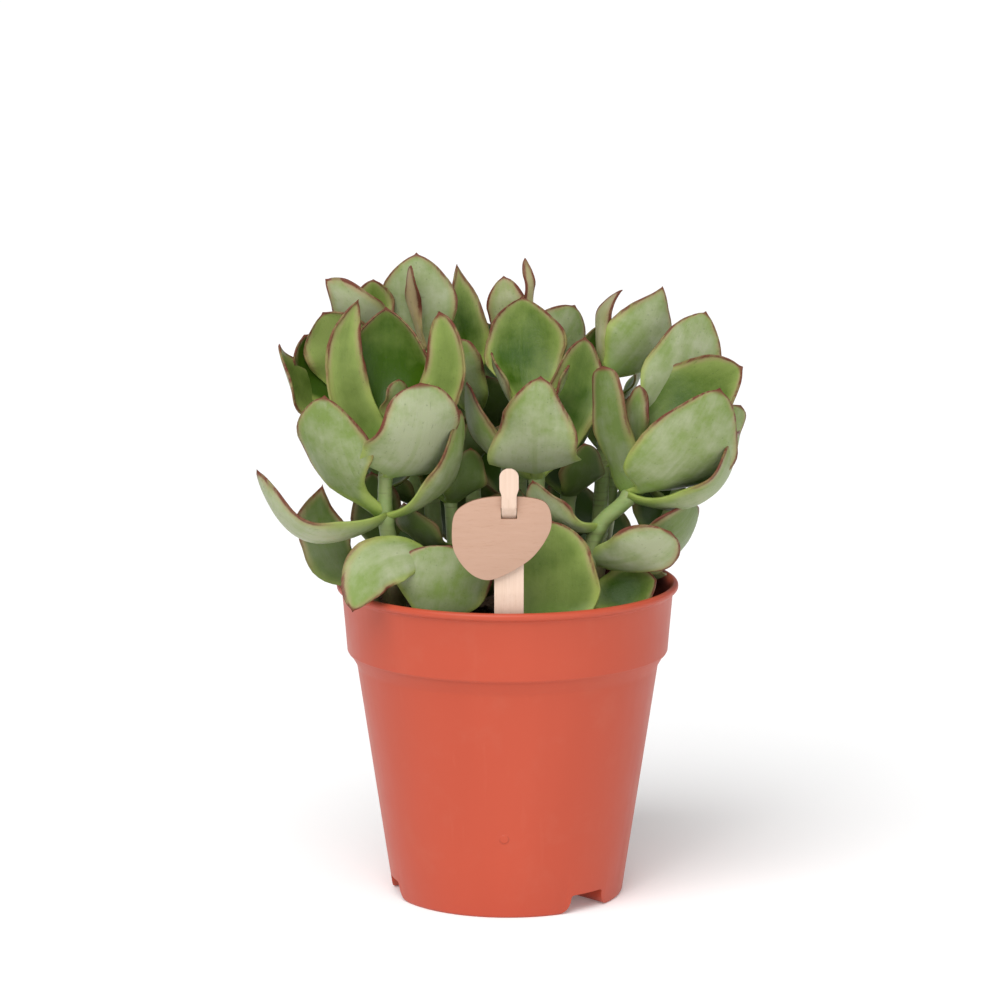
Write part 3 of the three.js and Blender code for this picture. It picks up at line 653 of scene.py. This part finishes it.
potSize = {
    "height": 111.5, "lipRadius": 60, "lipHeight": 2.6, "bandTop": 58.2, "bandFoot": 56.4,
    "bandFootHeight": 87.4, "stepHeight": 5.2, "bodyTop": 53, "foot": 40.6, "wall": 1.3,
    "sides": 168, "drains": 3, "drainAzimuth": 42.5, "drainWidth": 14.5, "drainHeight": 6.5,
    "drainRounding": 5, "drainReach": 14, "drainPast": 5, "weld": 0.05, "cornerAngle": 50,
    "pip": (-0.0012, -0.0449, 0.0292), "pipRadius": 0.0019,
}


def plasticSkin():
    skin = Finish("terracottaPlastic", Specular_IOR_Level=0.3)
    place = skin.place()
    fromPip = skin.node("ShaderNodeVectorMath", {"operation": "DISTANCE"},
                        {0: place, 1: potSize["pip"]}, 1)
    flow = skin.cloud(skin.stretch(place, (40.0, 40.0, 5.0)), 1.0, 4.0)
    dust = skin.cloud(place, 60.0, 6.0, 0.6)
    grain = skin.cloud(place, 2200.0, 2.0)
    scuff = skin.cloud(skin.stretch(place, (300.0, 300.0, 30.0)), 1.0, 3.0)
    colour = skin.mix(flow, (0.445, 0.0645, 0.0295), (0.5, 0.0775, 0.0375))
    colour = skin.mix(dust.rise(0.5, 0.75) * 0.07, colour, (0.52, 0.22, 0.15))
    colour = skin.mix(scuff.rise(0.62, 0.74) * 0.04, colour, (0.6, 0.2, 0.12))
    radius = skin.node("ShaderNodeVectorMath", {"operation": "LENGTH"},
                       {0: skin.stretch(place, (1.0, 1.0, 0.0))}, 1)
    height = skin.node("ShaderNodeSeparateXYZ", {}, {"Vector": place}, 2)
    inner = radius.fall(0.0569, 0.0573) * height.rise(0.1, 0.1012)  # painted shade on the inner wall above the soil
    # painted shade: the inner wall is mixed to a dark maroon, for the shade that falls inside the pot rim
    colour = skin.mix(inner * (0.6 + dust * 0.3), colour, (0.07, 0.014, 0.014))
    rough = 0.42 + (dust - 0.5) * 0.2 + (scuff - 0.5) * 0.1
    return skin.set(Base_Color=colour, Roughness=rough,
                    Normal=skin.bump(grain * 0.04 + flow * 0.12
                                     + fromPip.fall(0.0012, potSize["pipRadius"]), 1.0, 0.0003))


def potBodyRadius(height):
    size = potSize
    share = height / (size["bandFootHeight"] - size["stepHeight"])
    return size["foot"] + (size["bodyTop"] - size["foot"]) * share


def arc(centreR, centreZ, radius, start, end, steps):
    angles = [math.radians(start + (end - start) * k / steps) for k in range(steps + 1)]
    return [(centreR + radius * math.cos(a), centreZ + radius * math.sin(a)) for a in angles]


def spinProfile(profile, sides):
    bm = bmesh.new()
    verts = [bm.verts.new((r * mm, 0, z * mm)) for r, z in profile]
    edges = [bm.edges.new(pair) for pair in zip(verts, verts[1:])]
    bmesh.ops.spin(bm, geom=verts + edges, cent=(0, 0, 0), axis=(0, 0, 1), angle=2 * math.pi,
                   steps=sides, use_merge=True)
    bmesh.ops.remove_doubles(bm, verts=bm.verts, dist=1e-7)
    bmesh.ops.recalc_face_normals(bm, faces=bm.faces)
    return bm


def bakeModifiers(piece):
    depsgraph = bpy.context.evaluated_depsgraph_get()
    mesh = bpy.data.meshes.new_from_object(piece.evaluated_get(depsgraph))
    piece.modifiers.clear()
    piece.data = mesh
    return mesh


def potOutside():
    size = potSize
    top, lip, band = size["height"], size["lipRadius"], size["bandFoot"]
    step, bandFoot = size["bandFootHeight"] - size["stepHeight"], size["bandFootHeight"]
    under = top - size["lipHeight"]
    profile = [(0, 0), (size["foot"] - 0.9, 0), (size["foot"] - 0.3, 0.2), (potBodyRadius(1), 1)]
    profile += [(potBodyRadius(z), z) for z in (20, 40, 60, step - 1.2)]
    profile += [(potBodyRadius(step) + 0.1, step + 0.3), (band - 1.2, bandFoot - 1.3)]
    profile += [(band - 0.95, bandFoot - 0.75), (band - 0.35, bandFoot - 0.6)]
    profile += arc(band - 0.6, bandFoot + 0.2, 0.6, -50, 0, 4)
    profile += [(band + 0.6, 95), (size["bandTop"] - 0.1, under - 1.2)]
    profile += [(size["bandTop"] + 0.35, under - 0.25)]
    profile += arc(lip - 1.25, under + 1.15, 1.25, -75, 0, 5)
    profile += arc(lip - 1.25, top - 1.25, 1.25, 0, 90, 7)
    profile += [(0, top)]
    return spinProfile(profile, size["sides"])


def potHollow():
    size = potSize
    top, wall = size["height"], size["wall"]
    step, under = size["bandFootHeight"] - size["stepHeight"], top - size["lipHeight"]
    profile = [(0, wall), (potBodyRadius(wall) - wall - 1, wall), (potBodyRadius(2) - wall, 2.2)]
    profile += [(size["bodyTop"] - wall, step), (size["bandFoot"] - wall, size["bandFootHeight"] + 1.5)]
    profile += [(size["bandTop"] - wall, under - 1), (size["bandTop"] - wall + 0.3, top - 1.4)]
    profile += [(size["bandTop"] - wall + 0.9, top - 0.4), (size["bandTop"] + 0.2, top + 0.01)]
    profile += [(size["bandTop"] + 0.2, top + 1), (0, top + 1)]
    return spinProfile(profile, size["sides"])


# a channel's cross section, widened by a margin; its lower corners round out to the ground
def drainChannels(margin):
    size = potSize
    half, top = size["drainWidth"] / 2 + margin, size["drainHeight"] + margin
    centre = size["drainWidth"] / 2 + size["drainRounding"]
    side = arc(half - 1, top - 1, 1, 90, 0, 4)
    side += arc(centre, size["drainRounding"], size["drainRounding"] - margin, 180, 270, 10)
    side += [(centre, -1)]
    outline = side + [(-x, z) for x, z in reversed(side)]
    start = size["drainReach"] - margin
    bm = bmesh.new()
    for k in range(size["drains"]):
        turn = Matrix.Rotation(math.radians(size["drainAzimuth"] + 360 * k / size["drains"]), 4, "Z")
        verts = [bm.verts.new(turn @ (Vector((x, -start, z)) * mm)) for x, z in outline]
        face = bm.faces.new(verts)
        pushed = bmesh.ops.extrude_face_region(bm, geom=[face])["geom"]
        moved = [item for item in pushed if isinstance(item, bmesh.types.BMVert)]
        length = size["foot"] + size["drainPast"] - size["drainReach"]
        outward = turn @ Vector((0, -length * mm, 0))
        bmesh.ops.translate(bm, vec=outward, verts=moved)
    bmesh.ops.recalc_face_normals(bm, faces=bm.faces)
    return bm


def cutAway(piece, tool):
    cut = piece.modifiers.new("cut", "BOOLEAN")
    cut.operation, cut.solver, cut.object = "DIFFERENCE", "EXACT", tool
    bakeModifiers(piece)
    bpy.data.objects.remove(tool)


def makePot(material):
    size = potSize
    hollow = placePiece(potHollow(), "potHollow")
    cutAway(hollow, placePiece(drainChannels(size["wall"]), "thickChannels"))
    pot = finishPiece(potOutside(), "pot_moulding", [material], "pot")
    cutAway(pot, placePiece(drainChannels(0), "drainChannels"))
    cutAway(pot, hollow)
    pot.modifiers.new("weld", "WELD").merge_threshold = size["weld"] * mm
    bakeModifiers(pot).shade_smooth()
    pot.data.set_sharp_from_angle(angle=math.radians(size["cornerAngle"]))


makePot(plasticSkin())
print("pot moulded")


soilSize = {
    "level": 101.5, "crown": 2.0, "rimGap": 0.45, "floorGap": 0.3, "sides": 120, "rings": 30,
    "crumbs": 900, "crumbReach": 54, "crumbEdge": 55.2, "fibres": 90, "fibreReach": 50,
}


def peatSkin():
    skin = Finish("peat", Specular_IOR_Level=0.2)
    place = skin.place()
    clump = skin.cloud(place, 160.0, 5.0, 0.6)
    fleck = skin.cells(place, 700.0)
    colour = skin.mix(clump, (0.018, 0.01, 0.006), (0.085, 0.048, 0.026))
    colour = skin.mix(fleck.fall(0.05, 0.2) * 0.4, colour, (0.16, 0.1, 0.055))
    return skin.set(Base_Color=colour, Roughness=0.9 + (clump - 0.5) * 0.15,
                    Normal=skin.bump(clump + fleck * 0.5, 0.8, 0.001))


def soilHeight(x, y):
    size = soilSize
    reach = math.hypot(x, y) / 55
    rough = noise.fractal(Vector((x, y, 3)) * 0.13, 1.0, 2.0, 4)
    return size["level"] + size["crown"] * (1 - reach ** 2) * 0.9 + 0.9 * rough - 1.0 * reach ** 6


def fillSoil(material):
    size, pot = soilSize, potSize
    wall, gap = pot["wall"], size["rimGap"]
    step = pot["bandFootHeight"] - pot["stepHeight"]
    floor = pot["drainHeight"] + wall + size["floorGap"]
    profile = [(0, floor), (potBodyRadius(floor) - wall - gap, floor), (pot["bodyTop"] - wall - gap, step),
               (pot["bandFoot"] - wall - gap, pot["bandFootHeight"] + 1.8)]
    edge = pot["bandFoot"] + 1 - wall - gap
    profile += [(edge, size["level"] - 1.4)]
    rings = size["rings"]
    profile += [(edge * (1 - k / rings), size["level"]) for k in range(1, rings + 1)]
    bm = spinProfile(profile, size["sides"])
    for vert in bm.verts:
        x, y, z = vert.co / mm
        if z > size["level"] - 0.5:
            vert.co.z = soilHeight(x, y) * mm
    draw = random.Random(5)
    for k in range(size["crumbs"]):
        reach, turn = size["crumbReach"] * math.sqrt(draw.random()), draw.uniform(0, 2 * math.pi)
        x, y = reach * math.cos(turn), reach * math.sin(turn)
        grain = draw.uniform(0.35, 1.3) * (1.8 if draw.random() < 0.06 else 1)
        grain = min(grain, size["crumbEdge"] - reach)
        crumb = bmesh.ops.create_icosphere(bm, subdivisions=1, radius=grain * mm)["verts"]
        for vert in crumb:
            vert.co *= 1 + 0.35 * noise.noise(vert.co / mm * 1.3 + Vector((k, 0, 0)))
        turned = Quaternion((draw.uniform(-1, 1), draw.uniform(-1, 1), draw.uniform(-1, 1)), 2.0 * k)
        spot = Vector((x, y, soilHeight(x, y) + grain * 0.25)) * mm
        squash = Matrix.Diagonal((1, draw.uniform(0.6, 0.9), draw.uniform(0.5, 0.8), 1))
        bmesh.ops.transform(bm, matrix=Matrix.Translation(spot) @ turned.to_matrix().to_4x4() @ squash,
                            verts=crumb)
    for k in range(size["fibres"]):
        reach, turn = size["fibreReach"] * math.sqrt(draw.random()), draw.uniform(0, 2 * math.pi)
        x, y = reach * math.cos(turn), reach * math.sin(turn)
        lay = (Matrix.Translation(Vector((x, y, soilHeight(x, y) + 0.5)) * mm)
               @ Matrix.Rotation(draw.uniform(0, math.pi), 4, "Z")
               @ Matrix.Rotation(math.radians(90 + draw.uniform(-8, 8)), 4, "Y"))
        bmesh.ops.create_cone(bm, cap_ends=True, segments=5, radius1=draw.uniform(0.15, 0.35) * mm,
                              radius2=0.1 * mm, depth=draw.uniform(3, 8) * mm, matrix=lay)
    finishPiece(bm, "peat_filling", [material], "soil", 60)


fillSoil(peatSkin())
print("soil filled")


labelSize = {
    "stickWidth": 10.0, "neckWidth": 5.1, "headWidth": 6.5, "thickness": 1.4, "x": 0.4, "y": -55.6,
    "lean": 9.0, "bend": 118.0, "foot": 76.0, "top": 161.5, "neckFoot": 140.5, "neckTop": 147.4,
    "tagWidth": 33.5, "tagHeight": 28.5, "tagThickness": 1.5, "tagCentre": (-2.2, -57.6, 137.2),
    "slotWidth": 5.35, "slotHeight": 3.7, "tagPoints": 128, "stickBevel": 0.18, "tagBevel": 0.2,
}
tagOutline = [
    (-0.13, 0.5), (-0.36, 0.42), (-0.47, 0.3), (-0.5, 0.05), (-0.48, -0.14), (-0.38, -0.34),
    (-0.26, -0.46), (-0.14, -0.5), (-0.03, -0.47), (0.14, -0.37), (0.3, -0.24), (0.43, -0.05),
    (0.5, 0.13), (0.5, 0.3), (0.45, 0.43), (0.32, 0.49),
]


def woodSkin(name, grainScale, light, dark, edge):
    skin = Finish(name, Specular_IOR_Level=0.3)
    place = skin.place()
    line = skin.cloud(skin.stretch(place, grainScale), 1.0, 5.0, 0.6)
    pore = skin.cloud(skin.stretch(place, tuple(4 * part for part in grainScale)), 1.0, 2.0)
    broad = skin.cloud(place, 70.0, 3.0)
    colour = skin.mix((line - 0.3) * 1.5 + (broad - 0.5) * 0.5, light, dark)
    colour = skin.mix(pore.rise(0.6, 0.72) * 0.25, colour, edge)
    return skin.set(Base_Color=colour, Roughness=0.62 + (line - 0.5) * 0.2,
                    Normal=skin.bump(line * 0.6 + pore * 0.4, 0.25, 0.0003))


def stickHalfWidth(z):
    size = labelSize
    stops = [(size["foot"], 1.5), (size["foot"] + 5, size["stickWidth"] / 2),
             (size["neckFoot"] - 1, size["stickWidth"] / 2),
             (size["neckFoot"] + 1.2, size["neckWidth"] / 2),
             (size["neckTop"] + 4.6, size["neckWidth"] / 2),
             (size["neckTop"] + 7.4, size["headWidth"] / 2),
             (size["top"] - 3, size["headWidth"] / 2)]
    if z >= stops[-1][0]:
        reach = (z - stops[-1][0]) / (size["top"] - stops[-1][0])
        return size["headWidth"] / 2 * math.sqrt(max(1 - reach ** 2 * 0.93, 0))
    for (lowZ, low), (highZ, high) in zip(stops, stops[1:]):
        if z <= highZ:
            share = (z - lowZ) / (highZ - lowZ)
            share = share * share * (3 - 2 * share)
            return low + (high - low) * share


def stickDepth(z):
    size = labelSize
    start, end = size["neckFoot"] + 3, size["neckTop"] + 0.6
    share = min(max((z - start) / (end - start), 0), 1)
    forward = 3.8 * share + 0.4 * min(max((z - end) / 4, 0), 1)
    lean = math.tan(math.radians(size["lean"])) * max(0, size["bend"] - z)
    return size["y"] + lean - forward


def carveStick(material):
    size = labelSize
    bm = bmesh.new()
    bmesh.ops.create_grid(bm, x_segments=6, y_segments=150, size=1)
    for vert in bm.verts:
        z = size["foot"] + (size["top"] - size["foot"]) * (vert.co.y + 1) / 2
        vert.co = Vector((size["x"] + vert.co.x * stickHalfWidth(z),
                          stickDepth(z) - size["thickness"] / 2, z)) * mm
    front = bm.faces[:]
    bmesh.ops.recalc_face_normals(bm, faces=front)
    shape = bmesh.ops.extrude_face_region(bm, geom=front)
    back = [item for item in shape["geom"] if isinstance(item, bmesh.types.BMVert)]
    bmesh.ops.translate(bm, verts=back, vec=(0, size["thickness"] * mm, 0))
    bmesh.ops.recalc_face_normals(bm, faces=bm.faces)
    rim = [edge for edge in bm.edges if len(edge.link_faces) == 2
           and edge.calc_face_angle() > math.radians(60)]
    bmesh.ops.bevel(bm, geom=rim, offset=size["stickBevel"] * mm, segments=2, profile=0.5,
                    affect="EDGES", material=-1)
    finishPiece(bm, "label_stick_wood", [material], "label_stick", 40)


def carveTag(materials):
    size = labelSize
    cx, cy, cz = size["tagCentre"]
    knots = [(x * size["tagWidth"], 0, z * size["tagHeight"]) for x, z in tagOutline]
    count = size["tagPoints"]
    rim = [pathPoint(knots, k / count, True) for k in range(count)]
    bm = bmesh.new()
    slotX, slotZ = size["x"] - cx, size["neckTop"] - 1.5 - cz
    wide, high = size["slotWidth"] / 2, size["slotHeight"] / 2
    slot = [Vector((slotX + a * wide, 0, slotZ + b * high))
            for a, b in ((-1, -1), (-1, 1), (1, 1), (1, -1))]
    edges = []
    for loop in (rim, slot):
        verts = [bm.verts.new((point + Vector((cx, cy - size["tagThickness"] / 2, cz))) * mm)
                 for point in loop]
        edges += [bm.edges.new((verts[k], verts[(k + 1) % len(verts)])) for k in range(len(verts))]
    bmesh.ops.triangle_fill(bm, use_beauty=True, edges=edges)
    shape = bmesh.ops.extrude_face_region(bm, geom=bm.faces[:])
    back = [item for item in shape["geom"] if isinstance(item, bmesh.types.BMVert)]
    bmesh.ops.translate(bm, verts=back, vec=(0, size["tagThickness"] * mm, 0))
    bmesh.ops.recalc_face_normals(bm, faces=bm.faces)
    corner = [edge for edge in bm.edges if len(edge.link_faces) == 2
              and edge.calc_face_angle() > math.radians(60)]
    for face in bm.faces:  # the rim is darker, as its saw cut is
        face.material_index = int(abs(face.normal.y) < 0.5)
    bmesh.ops.bevel(bm, geom=corner, offset=size["tagBevel"] * mm, segments=2, profile=0.5,
                    affect="EDGES", material=-1)
    finishPiece(bm, "label_tag_wood", materials, "label_tag", 40)


carveStick(woodSkin("stickWood", (900.0, 900.0, 14.0), (0.71, 0.54, 0.435), (0.62, 0.445, 0.33),
                    (0.45, 0.28, 0.17)))
carveTag([woodSkin("tagWood", (90.0, 700.0, 620.0), (0.475, 0.297, 0.214), (0.44, 0.268, 0.186),
                   (0.36, 0.2, 0.12)),
          woodSkin("tagEdgeWood", (90.0, 700.0, 620.0), (0.3, 0.16, 0.1), (0.22, 0.11, 0.065),
                   (0.12, 0.06, 0.035))])
print("label carved")


studio = {
    "floorColour": (0.93, 0.93, 0.93), "floorGlow": 0.12, "floorReach": 40, "skyStrength": 0.4,
    "sunPower": 2.6, "sunFrom": (-0.4, -1.0, 1.35), "sunSoftness": 50, "fillPower": 4.0,
    "fillPlace": (0.9, -1.3, 0.5), "glintPower": 1.5, "glintPlace": (-0.35, -1.25, 1.1),
    "fillSize": 0.9, "glintSize": 0.22, "aimHeight": 0.12,
    "cameraPlace": (-0.00265, -1.56, 0.4194), "cameraPitch": 10.15, "lens": 162.9,
}


def layFloor():
    bm = bmesh.new()
    bmesh.ops.create_grid(bm, x_segments=1, y_segments=1, size=studio["floorReach"])
    floor = placePiece(bm, "floor")
    skin = Finish("paleFloor", Roughness=0.9, Specular_IOR_Level=0.1, Emission_Color=(1, 1, 1, 1),
                  Emission_Strength=studio["floorGlow"])
    tone = skin.cloud(skin.place(), 1.5, 2.0)
    low = tuple(part * 0.99 for part in studio["floorColour"])
    floor.data.materials.append(skin.set(Base_Color=skin.mix(tone, low, studio["floorColour"])))


def addLight(name, kind, place, power):
    light = bpy.data.lights.new(name, kind)
    light.energy = power
    lamp = bpy.data.objects.new(name, light)
    lamp.location = place
    aim = Vector((0, 0, studio["aimHeight"])) - Vector(place)
    lamp.rotation_euler = aim.to_track_quat("-Z", "Y").to_euler()
    bpy.context.scene.collection.objects.link(lamp)
    return light


def lightStudio():
    world = bpy.data.worlds.new("studioWorld")
    world.use_nodes = True
    sky = world.node_tree.nodes["Background"]
    sky.inputs["Color"].default_value = (1, 1, 1, 1)
    sky.inputs["Strength"].default_value = studio["skyStrength"]
    bpy.context.scene.world = world
    sun = addLight("softSun", "SUN", studio["sunFrom"], studio["sunPower"])
    sun.angle = math.radians(studio["sunSoftness"])
    fill = addLight("fillLight", "AREA", studio["fillPlace"], studio["fillPower"])
    fill.shape, fill.size = "SQUARE", studio["fillSize"]
    glint = addLight("glintLight", "AREA", studio["glintPlace"], studio["glintPower"])
    glint.shape, glint.size = "SQUARE", studio["glintSize"]
    bpy.context.scene.view_settings.view_transform = "Standard"


def aimCamera():
    lens = bpy.data.cameras.new("studioCamera")
    lens.sensor_fit, lens.sensor_width, lens.lens = "HORIZONTAL", 36, studio["lens"]
    lens.clip_start, lens.clip_end = 0.05, 20
    camera = bpy.data.objects.new("studioCamera", lens)
    camera.location = studio["cameraPlace"]
    camera.rotation_euler = (math.radians(90 - studio["cameraPitch"]), 0, 0)
    bpy.context.scene.collection.objects.link(camera)
    bpy.context.scene.camera = camera


layFloor()
lightStudio()
aimCamera()
print("studio set")
